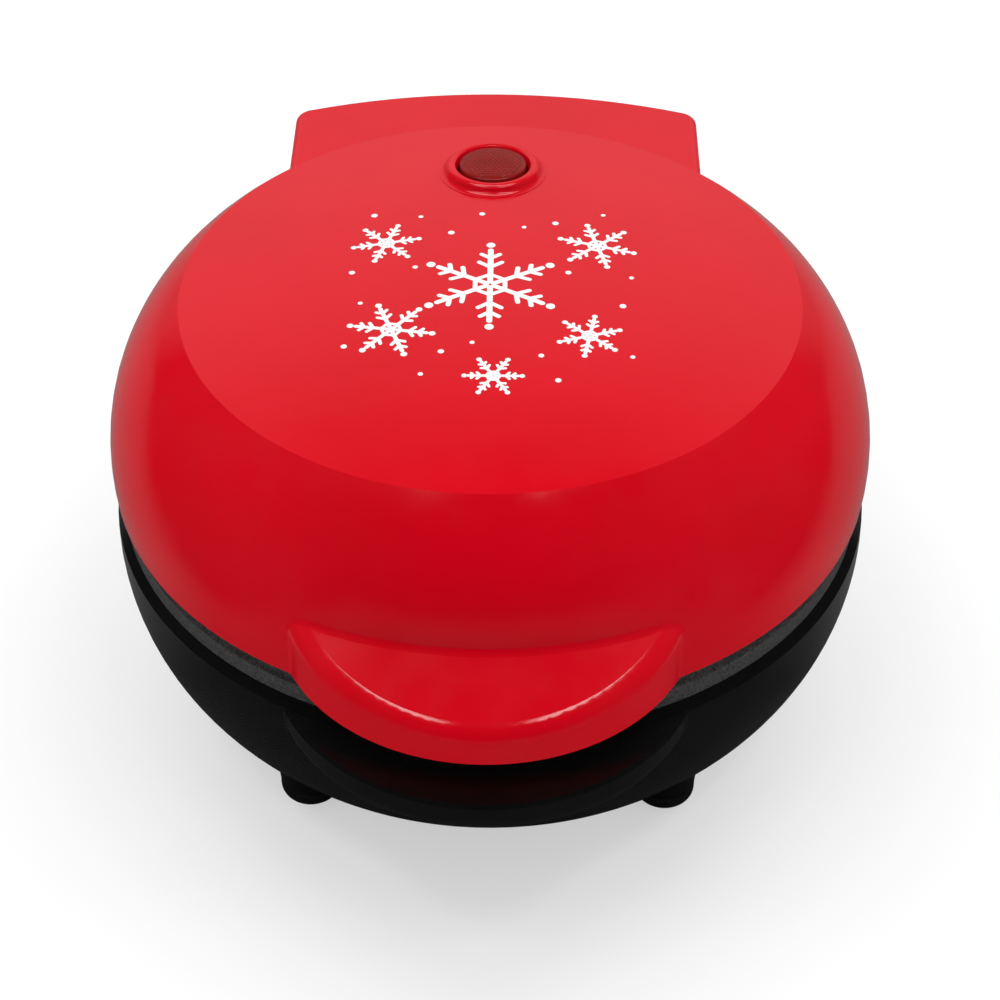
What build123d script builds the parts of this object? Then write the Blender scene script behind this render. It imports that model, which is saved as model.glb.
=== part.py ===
"""Mini waffle maker: round hinged cooker with a crescent handle and a flat rear tab.

Millimetres, +Z up, the feet stand on Z = 0, the front is at -Y and the hinge at +Y.
The origin is the middle of the overall box, on the table.
"""
from build123d import *
from math import cos, radians, sin, sqrt, tan
import os

# Overall sizes
overall_depth = 165.1        # front lip to rear tab, 6.5 in
rim_height = 50.0            # lower edge of the lid above the table
parting_drop = 2.2           # parting plane below the lid's lower edge
running_gap = 0.2            # each side's ring stays this far from the parting plane

# Lid shell
lid_rim_share = 0.3834       # rim radius over the overall depth, 5 in wide by 6.5 in deep
lid_crease_inset = 13.0      # crease inside the rim
lid_flank_height = 31.6
lid_flank_bulge = 4.4
lid_dome_rise = 2.7
lid_wall = 2.2

# Crescent handle on the lid
handle_inset = 21.7          # centre of its arc inside the lid's rim
handle_radius = 33.0
handle_height = 11.1         # top face above the lid's lower edge where it meets the flank
handle_slope = 26.0          # fall of the top face towards the front
handle_round = 3.6
handle_wall = 2.4
handle_rib = 1.8
handle_seam_round = 1.5      # fillet where the handle meets the flank
crease_round = 0.7

# Rear tab of the lid
tab_width = 76.2
tab_height = 15.0            # top face above the lid's lower edge
tab_corner_drop = 7.2        # how far the rear edge falls back at its corners
tab_corner_round = 3.6
tab_edge_round = 1.4

# Base shell
base_rim_step = 0.2          # widest edge of the base beyond the lid's rim
base_rim_drop = 8.0          # widest edge of the base below the lid's lower edge
base_band_inset = 1.5        # the sloping band above that edge leans in by this much
base_bottom_height = 7.0     # underside of the bowl above the table
base_bottom_inset = 16.5     # edge of the flat bottom inside the base's rim
base_wall_bulge = 5.0
base_wall = 2.2

# Front lip of the base, under the handle
lip_overhang = 1.2           # beyond the handle
lip_thickness = 6.0
lip_round = 2.8
lip_edge_chamfer = 0.5
lip_seam_round = 1.0

# Tail of the base, under the tab
tail_width = 68.0
tail_inset = 5.3             # rear face ahead of the lid tab's
tail_start = 40.0            # front of the tail, inside the bowl
tail_bottom = 10.0
tail_top = 35.0
tail_round = 6.0
tail_edge_round = 2.5

# Hinge
hinge_inset = 13.3           # hinge axis ahead of the tab's rear edge
hinge_rise = 4.0             # hinge axis above the lid's lower edge
ear_radius = 5.5
base_ear_inner = 22.0
base_ear_thickness = 5.0
ear_gap = 0.4
lid_ear_thickness = 4.0
pin_radius = 2.0
pin_clearance = 0.04
pin_stub = 3.0               # length of pin inside the base ear
skirt_notch_height = 5.4     # notches in the tab's rear skirt that pass the base's ears
neck_lean = 10.2             # slim neck of the base ear, ahead of the hinge axis
neck_drop = 7.5
neck_radius = 2.3
ear_root_lean = 11.5
ear_root_height = 33.0

# Feet
foot_radius = 5.2
foot_draft = 5.0             # the boss above the pad widens by this angle
foot_round = 2.2
foot_pad_height = 3.5
foot_peg_radius = 2.6
foot_peg_height = 3.0
foot_fit = 0.1
front_foot_x = 30.3
front_foot_inset = 14.0      # centre inside the edge of the bowl's flat bottom
rear_foot_x = 25.0
rear_foot_lean = 3.0         # ahead of the hinge axis
foot_boss_top = 16.0

# Waffle plates
plate_inset = 7.7            # plate's edge inside the trim ring's
flange_width = 4.5
plate_face_gap = 0.4         # plate face to parting plane
flange_thickness = 2.5
well_depth = 8.5
well_draft = 2.4
plate_floor = 3.0
plate_side_step = 2.0
stud_pitch = 12.5
stud_size = 9.2
stud_height = 6.1
stud_taper = 13.0
stud_rows = 7
stud_margin = 3.4            # studs stay this far inside the well

# Trim rings
ring_inset = 1.1             # ring's edge inside the lid's rim
ring_seat_lower = 4.2        # visible depth of the ring above the base
ring_seat_upper = 2.0        # visible depth of the ring below the lid
ring_edge_round = 1.0
ring_clearance = 0.4         # ring to plate edge
ring_ledge = 2.0
ring_ledge_thickness = 2.1
skirt_gap = 0.9              # skirt to the shell's inner wall
skirt_thickness = 2.0
skirt_depth = 9.5
bead = 0.6
bead_depth = 6.3
bead_height = 1.5
tab_leg = 2.0
tab_leg_width = 9.0
screw_inset = 7.5            # screw circle inside the plate's edge
screw_tab_reach = 4.0
screw_tab_thickness = 2.0
plate_boss_radius = 3.2
plate_boss_height = 2.0

# Screws
plate_screw_radius = 1.9
plate_screw_head_radius = 3.4
plate_screw_head = 2.2
plate_screw_grip = 4.0
clamp_screw_radius = 1.6
clamp_screw_head_radius = 3.0
clamp_screw_head = 1.8
screw_clearance = 0.15
thread_clearance = 0.05
recess_width = 0.9
recess_depth = 0.8

# Heaters
element_radius = 3.25
element_inset = 20.0         # heater's circle inside the plate's edge
element_gap_angle = 27.0     # half of the open part of the loop, at the rear
element_bend = 5.5
element_tail = 3.0
element_pin_radius = 1.5
element_pin = 4.0
contact_gap = 0.05
clamp_post_radius = 3.6
clamp_post_circle = 22.0
clamp_overlap = 5.1          # clamp's edge beyond the heater's circle
clamp_thickness = 1.0
clamp_hole = 11.0
clamp_notch = 18.0
shield_inset = 4.5           # shield's edge inside the plate's
shield_rim = 7.0
shield_side_step = 1.4
shield_thickness = 0.6
shield_depth = 6.2
shield_hole = 11.0

# Thermostat and fuse
thermostat_cap_radius = 8.0
thermostat_cap_height = 4.0
thermostat_body_radius = 7.4
thermostat_body_height = 7.5
thermostat_tab = 6.0
thermostat_tab_width = 6.3
thermostat_tab_thickness = 0.8
fuse_radius = 2.1
fuse_length = 13.0
fuse_offset = 24.0
fuse_lead_radius = 0.55
fuse_lead = 7.0

# Terminal block, cord inlet and cord clamp
block_width = 34.0
block_depth = 14.0
block_height = 10.0
block_lean = 24.0            # ahead of the hinge axis, on the tail's floor
block_hole_radius = 1.6
inlet_height = 18.6
inlet_radius = 3.4
grommet_body_radius = 5.2
grommet_flange_radius = 7.0
grommet_flange = 1.6
cord_clamp_lean = 10.0       # ahead of the hinge axis
cord_clamp_width = 26.0
cord_clamp_depth = 7.0
cord_clamp_thickness = 3.0
cord_clamp_spacing = 17.0
clamp_boss_radius = 3.3
clamp_boss_height = 9.6
saddle_width = 9.0

# Indicator
lens_reach = 33.5            # centre behind the body's axis
lens_radius = 5.7
lens_gap = 0.35
lens_proud = 1.5             # top of the lens's edge above the dome
lens_dome = 0.5
lens_flange_radius = 7.4
lens_flange = 1.2
bezel_radius = 9.2
bezel_height = 1.5
bezel_shoulder = 1.15        # width of the hollow round its foot
bezel_flare = 0.45           # its inner edge beyond the bore
collar_wall = 1.4
collar_length = 4.5
collar_gap = 0.1
holder_length = 6.2
holder_bore = 4.4
holder_floor = 1.4
lamp_radius = 2.4
lamp_length = 5.2
lamp_stem_radius = 1.3

# Wires, and the sleeves that carry them across the hinge along its axis
wire_radius = 1.1
sleeve_radius = 1.6
sleeve_clearance = 0.5
sleeve_gap = 0.4             # between the two sleeves' ends on the hinge axis
sleeve_x = 15.0
sleeve_lift = 6.0            # straight run above the terminal block
lid_sleeve_x = 6.0
lid_sleeve_rise = 10.0       # above the lid's lower edge
lid_sleeve_inset = 4.1       # sleeve's end inside the lid's wall
lead_rise = 2.4              # of the upper leads above the heater's pins

# Places worked out from the sizes above
lid_rim_radius = lid_rim_share * overall_depth
lid_crease_radius = lid_rim_radius - lid_crease_inset
base_rim_radius = lid_rim_radius + base_rim_step
base_bottom_radius = base_rim_radius - base_bottom_inset
handle_centre = lid_rim_radius - handle_inset
front_reach = handle_centre + handle_radius + lip_overhang
rear_reach = overall_depth - front_reach
tail_reach = rear_reach - tail_inset
hinge_reach = rear_reach - hinge_inset
neck_reach = hinge_reach - neck_lean
ear_root_reach = hinge_reach - ear_root_lean
front_foot_y = front_foot_inset - base_bottom_radius
rear_foot_y = hinge_reach - rear_foot_lean
block_place = hinge_reach - block_lean
cord_clamp_place = hinge_reach - cord_clamp_lean
ring_outer_radius = lid_rim_radius - ring_inset
plate_radius = ring_outer_radius - plate_inset
cook_radius = plate_radius - flange_width
stud_limit = cook_radius - stud_margin
screw_circle = plate_radius - screw_inset
element_circle = plate_radius - element_inset
clamp_radius = element_circle + clamp_overlap
shield_radius = plate_radius - shield_inset
shield_dish_radius = shield_radius - shield_rim
shield_floor_radius = shield_dish_radius - shield_side_step
axis_y = front_reach - overall_depth / 2
parting_height = rim_height - parting_drop
base_rim_height = rim_height - base_rim_drop
base_seat_height = parting_height - ring_seat_lower
hinge_height = rim_height + hinge_rise
crease_height = rim_height + lid_flank_height
dome_radius = (lid_crease_radius**2 + lid_dome_rise**2) / (2 * lid_dome_rise)
dome_centre_height = crease_height + lid_dome_rise - dome_radius
lid_inner_radius = lid_rim_radius - lid_wall
base_inner_radius = base_rim_radius - base_wall
plate_back = plate_face_gap + well_depth + plate_floor
screw_tab_depth = plate_back + plate_boss_height
element_depth = plate_back + element_radius + contact_gap
clamp_depth = plate_back + 2 * (element_radius + contact_gap)
shield_rim_depth = screw_tab_depth + screw_tab_thickness
shield_floor_depth = shield_rim_depth + shield_depth

pin_x = element_circle * sin(radians(element_gap_angle)) - element_bend * cos(radians(element_gap_angle))
pin_y = element_circle * cos(radians(element_gap_angle)) + element_bend * sin(radians(element_gap_angle))
pin_depth = element_depth + element_bend + element_tail + element_pin
lid_sleeve_height = rim_height + lid_sleeve_rise
lid_sleeve_start = lid_inner_radius - lid_sleeve_inset

body_axis = Axis((0, axis_y, 0), (0, 0, 1))


def level(height):
    """Horizontal plane at a height, centred on the body's axis."""
    return Plane(origin=(0, axis_y, height), x_dir=(1, 0, 0), z_dir=(0, 0, 1))


def profile(height=0):
    """Upright plane through the body's axis: x is the radius, y the height."""
    return Plane(origin=(0, axis_y, height), x_dir=(1, 0, 0), z_dir=(0, -1, 0))


def side_plane(x):
    """Upright plane facing +X: x runs to the rear from the body's axis, y is up."""
    return Plane(origin=(x, axis_y, 0), x_dir=(0, 1, 0), z_dir=(1, 0, 0))


def stack_profile(side):
    """Radius and distance from the parting plane, up for side 1 and down for side -1."""
    return Plane(origin=(0, axis_y, parting_height), x_dir=(1, 0, 0), z_dir=(0, -side, 0))


def stack_level(side, depth):
    """Plane facing away from the parting plane, on the given side, at that depth."""
    return Plane(
        origin=(0, axis_y, parting_height + side * depth),
        x_dir=(1, 0, 0),
        z_dir=(0, 0, side),
    )


def front_edges(piece, height, band=0.05):
    """Edges in the front third of a piece whose middles lie at a height, within a band."""
    front = piece.edges().filter_by_position(Axis.Y, axis_y - 2 * front_reach, axis_y - handle_centre)
    return front.filter_by_position(Axis.Z, height - band, height + band)


def above_handle(drop):
    """Space above the handle's sloping top face, lowered by a drop."""
    fall = tan(radians(handle_slope))
    inner_radius, outer_radius = handle_centre, handle_centre + handle_radius + 1
    face_height = rim_height + handle_height - drop
    with BuildPart() as space:
        with BuildSketch(profile()):
            with BuildLine():
                Polyline(
                    (inner_radius, face_height + fall * (lid_rim_radius - inner_radius)),
                    (outer_radius, face_height - fall * (outer_radius - lid_rim_radius)),
                    (outer_radius, rim_height + 2 * lid_flank_height),
                    (inner_radius, rim_height + 2 * lid_flank_height),
                    close=True,
                )
            make_face()
        revolve(axis=body_axis)
    return space.part


def finish(piece, label):
    """Label one piece and write its STEP file."""
    piece.part.label = label
    export_step(piece.part, f"parts/{label}.step")


os.makedirs("parts", exist_ok=True)

# Lid housing: dome, crescent handle, rear tab, hinge ears and lamp collar in one moulding
dome_tilt = lens_reach / dome_radius
lens_normal = Vector(0, sin(dome_tilt), cos(dome_tilt))
lens_centre = Vector(0, axis_y, dome_centre_height) + lens_normal * dome_radius
lens_plane = Plane(origin=lens_centre, x_dir=(1, 0, 0), z_dir=lens_normal)

with BuildPart() as lid_housing:
    # Handle block, its top face falling towards the front
    with BuildSketch(level(rim_height)):
        with Locations((0, -handle_centre)):
            Circle(handle_radius)
    extrude(amount=1.4 * handle_height)
    add(above_handle(0), mode=Mode.SUBTRACT)

    # Rear tab with a bowed rear edge
    with BuildPart(mode=Mode.PRIVATE) as tab_block:
        with BuildSketch(level(rim_height)) as tab_outline:
            with BuildLine():
                corner = (tab_width / 2, rear_reach - tab_corner_drop)
                Line((-tab_width / 2, 0), (tab_width / 2, 0))
                Line((tab_width / 2, 0), corner)
                ThreePointArc(corner, (0, rear_reach), (-corner[0], corner[1]))
                Line((-corner[0], corner[1]), (-tab_width / 2, 0))
            make_face()
            fillet(tab_outline.vertices().group_by(Axis.Y)[-1], radius=tab_corner_round)
        extrude(amount=tab_height)
        fillet(tab_block.edges().group_by(Axis.Z)[-1], radius=tab_edge_round)
    add(tab_block.part)

    # Dome and flank, with the crease between them slightly rounded
    with BuildSketch(profile()) as dome_section:
        with BuildLine():
            Line((0, rim_height), (lid_rim_radius, rim_height))
            SagittaArc(
                (lid_rim_radius, rim_height),
                (lid_crease_radius, crease_height),
                -lid_flank_bulge,
            )
            RadiusArc(
                (lid_crease_radius, crease_height),
                (0, crease_height + lid_dome_rise),
                -dome_radius,
            )
            Line((0, crease_height + lid_dome_rise), (0, rim_height))
        make_face()
        crease = dome_section.vertices().filter_by_position(Axis.Z, crease_height - 0.1, crease_height + 0.1)
        fillet(crease, radius=crease_round)
    revolve(axis=body_axis)

    # Round the handle's upper edge, then the seam where it meets the flank
    handle_fall = tan(radians(handle_slope)) * (handle_centre + handle_radius - lid_rim_radius)
    front_height = rim_height + handle_height - handle_fall
    fillet(front_edges(lid_housing, front_height).sort_by(Axis.Y)[0], radius=handle_round)
    seam = front_edges(lid_housing, rim_height + 0.6 * handle_height, handle_height / 2)
    fillet(seam.filter_by_position(Axis.Y, axis_y - lid_rim_radius, axis_y), radius=handle_seam_round)

    # Hollow of the shell, with a bead that the trim ring snaps over
    with BuildSketch(profile()):
        with BuildLine():
            inner_crease = (lid_crease_radius - 0.9 * lid_wall, crease_height - 0.8 * lid_wall)
            inner_top = (0, crease_height + lid_dome_rise - lid_wall)
            Line((0, rim_height), (lid_inner_radius, rim_height))
            SagittaArc((lid_inner_radius, rim_height), inner_crease, -lid_flank_bulge)
            RadiusArc(inner_crease, inner_top, -(dome_radius - lid_wall))
            Line(inner_top, (0, rim_height))
        make_face()
    revolve(axis=body_axis, mode=Mode.SUBTRACT)
    with BuildSketch(level(parting_height + bead_depth)):
        Circle(lid_rim_radius - lid_wall / 2)
        Circle(lid_inner_radius - bead, mode=Mode.SUBTRACT)
    extrude(amount=bead_height)

    # Hollow of the handle, open below, with ribs
    with BuildPart(mode=Mode.PRIVATE) as handle_hollow:
        with BuildSketch(level(rim_height)):
            with Locations((0, -handle_centre)):
                Circle(handle_radius - handle_wall)
            Circle(lid_rim_radius + 0.5, mode=Mode.SUBTRACT)
        extrude(amount=handle_height)
        add(above_handle(handle_wall), mode=Mode.SUBTRACT)
    add(handle_hollow.part, mode=Mode.SUBTRACT)
    with BuildPart(mode=Mode.PRIVATE) as handle_ribs:
        with BuildSketch(level(rim_height + handle_rib)):
            with Locations((0, -lid_rim_radius - handle_wall)):
                with GridLocations(handle_radius / 2, 0, 3, 1):
                    Rectangle(handle_rib, 2 * handle_height)
            with Locations((0, -handle_centre)):
                Circle(handle_radius - handle_wall / 2, mode=Mode.INTERSECT)
            Circle(lid_rim_radius - lid_wall / 2, mode=Mode.SUBTRACT)
        extrude(amount=handle_height)
        add(above_handle(handle_wall / 2), mode=Mode.SUBTRACT)
    add(handle_ribs.part)

    # Hollow of the tab, open below, behind the lid's rear wall
    with BuildSketch(level(rim_height)) as tab_hollow:
        with BuildLine():
            inner = (tab_width / 2 - lid_wall, rear_reach - tab_corner_drop - lid_wall)
            Line((-inner[0], 0), (inner[0], 0))
            Line((inner[0], 0), inner)
            ThreePointArc(inner, (0, rear_reach - lid_wall), (-inner[0], inner[1]))
            Line((-inner[0], inner[1]), (-inner[0], 0))
        make_face()
        fillet(tab_hollow.vertices().group_by(Axis.Y)[-1], radius=tab_corner_round - lid_wall)
        Circle(lid_rim_radius + 0.5, mode=Mode.SUBTRACT)
    extrude(amount=tab_height - lid_wall, mode=Mode.SUBTRACT)

    # Two hinge ears hang from the tab's roof
    for side in (-1, 1):
        inner_face = base_ear_inner + base_ear_thickness + ear_gap
        start = inner_face if side > 0 else -inner_face - lid_ear_thickness
        with BuildSketch(side_plane(start)):
            with Locations((hinge_reach, hinge_height)):
                Circle(ear_radius)
                with Locations((0, (tab_height - hinge_rise) / 2 - lid_wall / 4)):
                    Rectangle(2 * ear_radius, tab_height - hinge_rise - lid_wall / 2)
            with Locations((hinge_reach, hinge_height)):
                Circle(pin_radius + pin_clearance, mode=Mode.SUBTRACT)
        extrude(amount=lid_ear_thickness)

    # Notches in the rear skirt, which swings down past the base's ears
    with BuildSketch(level(rim_height)):
        with Locations((0, hinge_reach + ear_radius + ear_gap)):
            with GridLocations(2 * base_ear_inner + base_ear_thickness, 0, 2, 1):
                Rectangle(base_ear_thickness + 2 * ear_gap, hinge_inset, align=(Align.CENTER, Align.MIN))
    extrude(amount=skirt_notch_height, mode=Mode.SUBTRACT)

    # Hole for the sleeve from the tab into the lid
    with BuildSketch(Plane(origin=(lid_sleeve_x, axis_y + lid_rim_radius - 2 * lid_wall, lid_sleeve_height),
                           x_dir=(1, 0, 0), z_dir=(0, 1, 0))):
        Circle(sleeve_radius + sleeve_clearance)
    extrude(amount=4 * lid_wall, mode=Mode.SUBTRACT)

    # Indicator: bezel outside, collar inside, bore through both
    with BuildSketch(Plane(origin=lens_centre, x_dir=(1, 0, 0), z_dir=(0, -lens_normal.Z, lens_normal.Y))):
        with BuildLine():
            Line((lens_radius, -lid_wall / 2), (bezel_radius, -lid_wall / 2))
            Line((bezel_radius, -lid_wall / 2), (bezel_radius, 0))
            shoulder = (bezel_radius - bezel_shoulder, 0.6 * bezel_height)
            inner_edge = (lens_radius + lens_gap + bezel_flare, 0.9 * bezel_height)
            crest = ((shoulder[0] + inner_edge[0]) / 2 + 0.1, bezel_height)
            bore_edge = (lens_radius + lens_gap, 0.2 * bezel_height)
            foot = (shoulder[0] + 0.4 * bezel_shoulder, 0.14 * bezel_height)
            ThreePointArc((bezel_radius, 0), foot, shoulder)
            ThreePointArc(shoulder, crest, inner_edge)
            Line(inner_edge, bore_edge)
            Line(bore_edge, (lens_radius, bore_edge[1]))
            Line((lens_radius, bore_edge[1]), (lens_radius, -lid_wall / 2))
        make_face()
    revolve(axis=Axis(lens_centre, lens_normal))
    with BuildSketch(lens_plane.offset(-lid_wall / 2)):
        Circle(lens_flange_radius + collar_gap + collar_wall)
        Circle(lens_flange_radius + collar_gap, mode=Mode.SUBTRACT)
    extrude(amount=-(lid_wall / 2 + collar_length))
    with BuildSketch(lens_plane.offset(2 * bezel_height)):
        Circle(lens_radius + lens_gap)
    extrude(amount=-(2 * bezel_height + 2 * lid_wall), mode=Mode.SUBTRACT)
finish(lid_housing, "lid_housing")

# Indicator lens: a flanged cap pushed up from inside
lens_crown_radius = (lens_radius**2 + lens_dome**2) / (2 * lens_dome)
with BuildPart() as indicator_lens:
    with BuildSketch(Plane(origin=lens_centre, x_dir=(1, 0, 0), z_dir=(0, -lens_normal.Z, lens_normal.Y))):
        with BuildLine():
            seat = -lid_wall - collar_gap
            Line((0, seat - lens_flange), (lens_flange_radius, seat - lens_flange))
            Line((lens_flange_radius, seat - lens_flange), (lens_flange_radius, seat))
            Line((lens_flange_radius, seat), (lens_radius, seat))
            Line((lens_radius, seat), (lens_radius, lens_proud))
            RadiusArc((lens_radius, lens_proud), (0, lens_proud + lens_dome), -lens_crown_radius)
            Line((0, lens_proud + lens_dome), (0, seat - lens_flange))
        make_face()
    revolve(axis=Axis(lens_centre, lens_normal))
finish(indicator_lens, "indicator_lens")

# Holder under the lens, seated in the collar, and the neon lamp standing in it
holder_top = lid_wall + collar_gap + lens_flange
with BuildPart() as lamp_holder:
    with BuildSketch(lens_plane.offset(-holder_top)):
        Circle(lens_flange_radius)
    extrude(amount=-holder_length)
    with BuildSketch(lens_plane.offset(-holder_top)):
        Circle(holder_bore)
    extrude(amount=-(holder_length - holder_floor), mode=Mode.SUBTRACT)
    with BuildSketch(lens_plane.offset(-holder_top)):
        Circle(lamp_stem_radius + 0.1)
    extrude(amount=-holder_length, mode=Mode.SUBTRACT)
finish(lamp_holder, "lamp_holder")

with BuildPart() as indicator_lamp:
    lamp_base = holder_top + holder_length - holder_floor
    with BuildSketch(lens_plane.offset(-lamp_base)):
        Circle(lamp_stem_radius)
    extrude(amount=-holder_floor)
    with BuildSketch(lens_plane.offset(-lamp_base)):
        Circle(lamp_radius)
    extrude(amount=min(lamp_length, holder_length - holder_floor) - 0.4)
    fillet(indicator_lamp.faces().sort_by(Axis.Z)[-1].edges(), radius=0.45 * lamp_radius)
finish(indicator_lamp, "indicator_lamp")

# Base housing: bowl, lip, tail, hinge ears and foot bosses in one moulding
tail_inner_width = tail_width - 2 * base_wall
with BuildPart() as base_housing:
    # Lip block under the handle
    with BuildSketch(level(base_rim_height - lip_thickness)):
        with Locations((0, -handle_centre)):
            Circle(handle_radius + lip_overhang)
    extrude(amount=lip_thickness)
    chamfer(base_housing.edges().group_by(Axis.Z)[-1], length=lip_edge_chamfer)

    # Tail block
    with BuildPart(mode=Mode.PRIVATE) as tail_block:
        with BuildSketch(level(tail_bottom)) as tail_outline:
            with Locations((0, tail_start)):
                Rectangle(tail_width, tail_reach - tail_start, align=(Align.CENTER, Align.MIN))
            fillet(tail_outline.vertices().group_by(Axis.Y)[-1], radius=tail_round)
        extrude(amount=tail_top - tail_bottom)
        fillet(tail_block.edges().group_by(Axis.Z)[0], radius=tail_edge_round)
        fillet(tail_block.edges().group_by(Axis.Z)[-1], radius=1)
    add(tail_block.part)

    # Front foot bosses under the bowl, rear ones under the tail
    with BuildSketch(level(foot_pad_height)):
        with Locations((front_foot_x, front_foot_y), (-front_foot_x, front_foot_y),
                       (rear_foot_x, rear_foot_y), (-rear_foot_x, rear_foot_y)):
            Circle(foot_radius)
    extrude(amount=foot_boss_top - foot_pad_height, taper=-foot_draft)

    # Bowl with a sloping band above its widest edge
    with BuildSketch(profile()):
        with BuildLine():
            band_top = (base_rim_radius - base_band_inset, base_seat_height)
            Line((0, base_bottom_height), (base_bottom_radius, base_bottom_height))
            SagittaArc((base_bottom_radius, base_bottom_height),
                       (base_rim_radius, base_rim_height), -base_wall_bulge)
            Line((base_rim_radius, base_rim_height), band_top)
            Line(band_top, (0, base_seat_height))
            Line((0, base_seat_height), (0, base_bottom_height))
        make_face()
    revolve(axis=body_axis)

    # Round the lip's lower edge, then the seam where it meets the bowl
    lip_bottom = base_rim_height - lip_thickness
    fillet(front_edges(base_housing, lip_bottom).sort_by(Axis.Y)[0], radius=lip_round)
    seam = front_edges(base_housing, lip_bottom)
    seam += front_edges(base_housing, base_rim_height - lip_thickness / 3, lip_thickness / 4)
    fillet(seam.filter_by_position(Axis.Y, axis_y - base_rim_radius, axis_y), radius=lip_seam_round)

    # Hollow of the bowl, with the bead for the trim ring
    with BuildSketch(profile()):
        with BuildLine():
            floor_edge = (base_bottom_radius - base_wall, base_bottom_height + base_wall)
            Line((0, floor_edge[1]), floor_edge)
            SagittaArc(floor_edge, (base_inner_radius, base_rim_height), -base_wall_bulge)
            Line((base_inner_radius, base_rim_height), (base_inner_radius, base_seat_height))
            Line((base_inner_radius, base_seat_height), (0, base_seat_height))
            Line((0, base_seat_height), (0, floor_edge[1]))
        make_face()
    revolve(axis=body_axis, mode=Mode.SUBTRACT)
    with BuildSketch(level(parting_height - bead_depth)):
        Circle(base_rim_radius - base_wall / 2)
        Circle(base_inner_radius - bead, mode=Mode.SUBTRACT)
    extrude(amount=-bead_height)

    # Hollow of the tail, joined to the bowl's
    with BuildSketch(level(tail_bottom + base_wall)) as tail_hollow:
        with Locations((0, tail_start)):
            Rectangle(tail_inner_width, tail_reach - base_wall - tail_start, align=(Align.CENTER, Align.MIN))
        fillet(tail_hollow.vertices().group_by(Axis.Y)[-1], radius=tail_round - base_wall)
    extrude(amount=tail_top - tail_bottom - 2 * base_wall, mode=Mode.SUBTRACT)

    # Hollow under the lip
    with BuildSketch(level(base_rim_height - lip_thickness)):
        with Locations((0, -handle_centre)):
            Circle(handle_radius + lip_overhang - base_wall)
        Circle(base_rim_radius + 0.4, mode=Mode.SUBTRACT)
    extrude(amount=lip_thickness - base_wall, mode=Mode.SUBTRACT)

    # Hinge ears lean back from the tail's roof, with a blind pin hole each
    for side in (-1, 1):
        start = base_ear_inner if side > 0 else -base_ear_inner - base_ear_thickness
        with BuildSketch(side_plane(start)):
            with BuildSketch(mode=Mode.PRIVATE) as upper_arm:
                with Locations((hinge_reach, hinge_height)):
                    Circle(ear_radius)
                with Locations((neck_reach, rim_height - neck_drop)):
                    Circle(neck_radius)
                make_hull()
            with BuildSketch(mode=Mode.PRIVATE) as lower_arm:
                with Locations((neck_reach, rim_height - neck_drop), (ear_root_reach, ear_root_height)):
                    Circle(neck_radius)
                make_hull()
            add(upper_arm.sketch)
            add(lower_arm.sketch)
        extrude(amount=base_ear_thickness)
        outer_face = base_ear_inner + base_ear_thickness
        with BuildSketch(side_plane(side * outer_face)):
            with Locations((hinge_reach, hinge_height)):
                Circle(pin_radius + pin_clearance)
        extrude(amount=-side * pin_stub, mode=Mode.SUBTRACT)

    # Sockets for the pegs of the feet
    with BuildSketch(level(foot_pad_height)):
        with Locations((front_foot_x, front_foot_y), (-front_foot_x, front_foot_y),
                       (rear_foot_x, rear_foot_y), (-rear_foot_x, rear_foot_y)):
            Circle(foot_peg_radius + foot_fit)
    extrude(amount=foot_peg_height + foot_fit, mode=Mode.SUBTRACT)

    # Cord inlet through the tail's rear wall, two bosses for the cord clamp inside
    with BuildSketch(Plane(origin=(0, axis_y + tail_reach, inlet_height), x_dir=(1, 0, 0), z_dir=(0, 1, 0))):
        Circle(grommet_body_radius + foot_fit)
    extrude(amount=-2 * base_wall, mode=Mode.SUBTRACT)
    with BuildSketch(level(tail_bottom + base_wall / 2)):
        with Locations((0, cord_clamp_place)):
            with GridLocations(cord_clamp_spacing, 0, 2, 1):
                Circle(clamp_boss_radius)
    extrude(amount=base_wall / 2 + clamp_boss_height)
    with BuildSketch(level(tail_bottom + base_wall + clamp_boss_height)):
        with Locations((0, cord_clamp_place)):
            with GridLocations(cord_clamp_spacing, 0, 2, 1):
                Circle(clamp_screw_radius + thread_clearance)
    extrude(amount=-clamp_boss_height, mode=Mode.SUBTRACT)
    with BuildSketch(level(tail_bottom + base_wall / 2)):
        with Locations((0, cord_clamp_place)):
            Rectangle(saddle_width, cord_clamp_depth)
    extrude(amount=inlet_height - inlet_radius - tail_bottom - base_wall / 2)

    # Hole in the tail's roof for the sleeve that runs up to the hinge
    with BuildSketch(level(tail_top)):
        with Locations((-sleeve_x, neck_reach)):
            Circle(sleeve_radius + sleeve_clearance)
    extrude(amount=-2 * base_wall, mode=Mode.SUBTRACT)
finish(base_housing, "base_housing")


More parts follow.
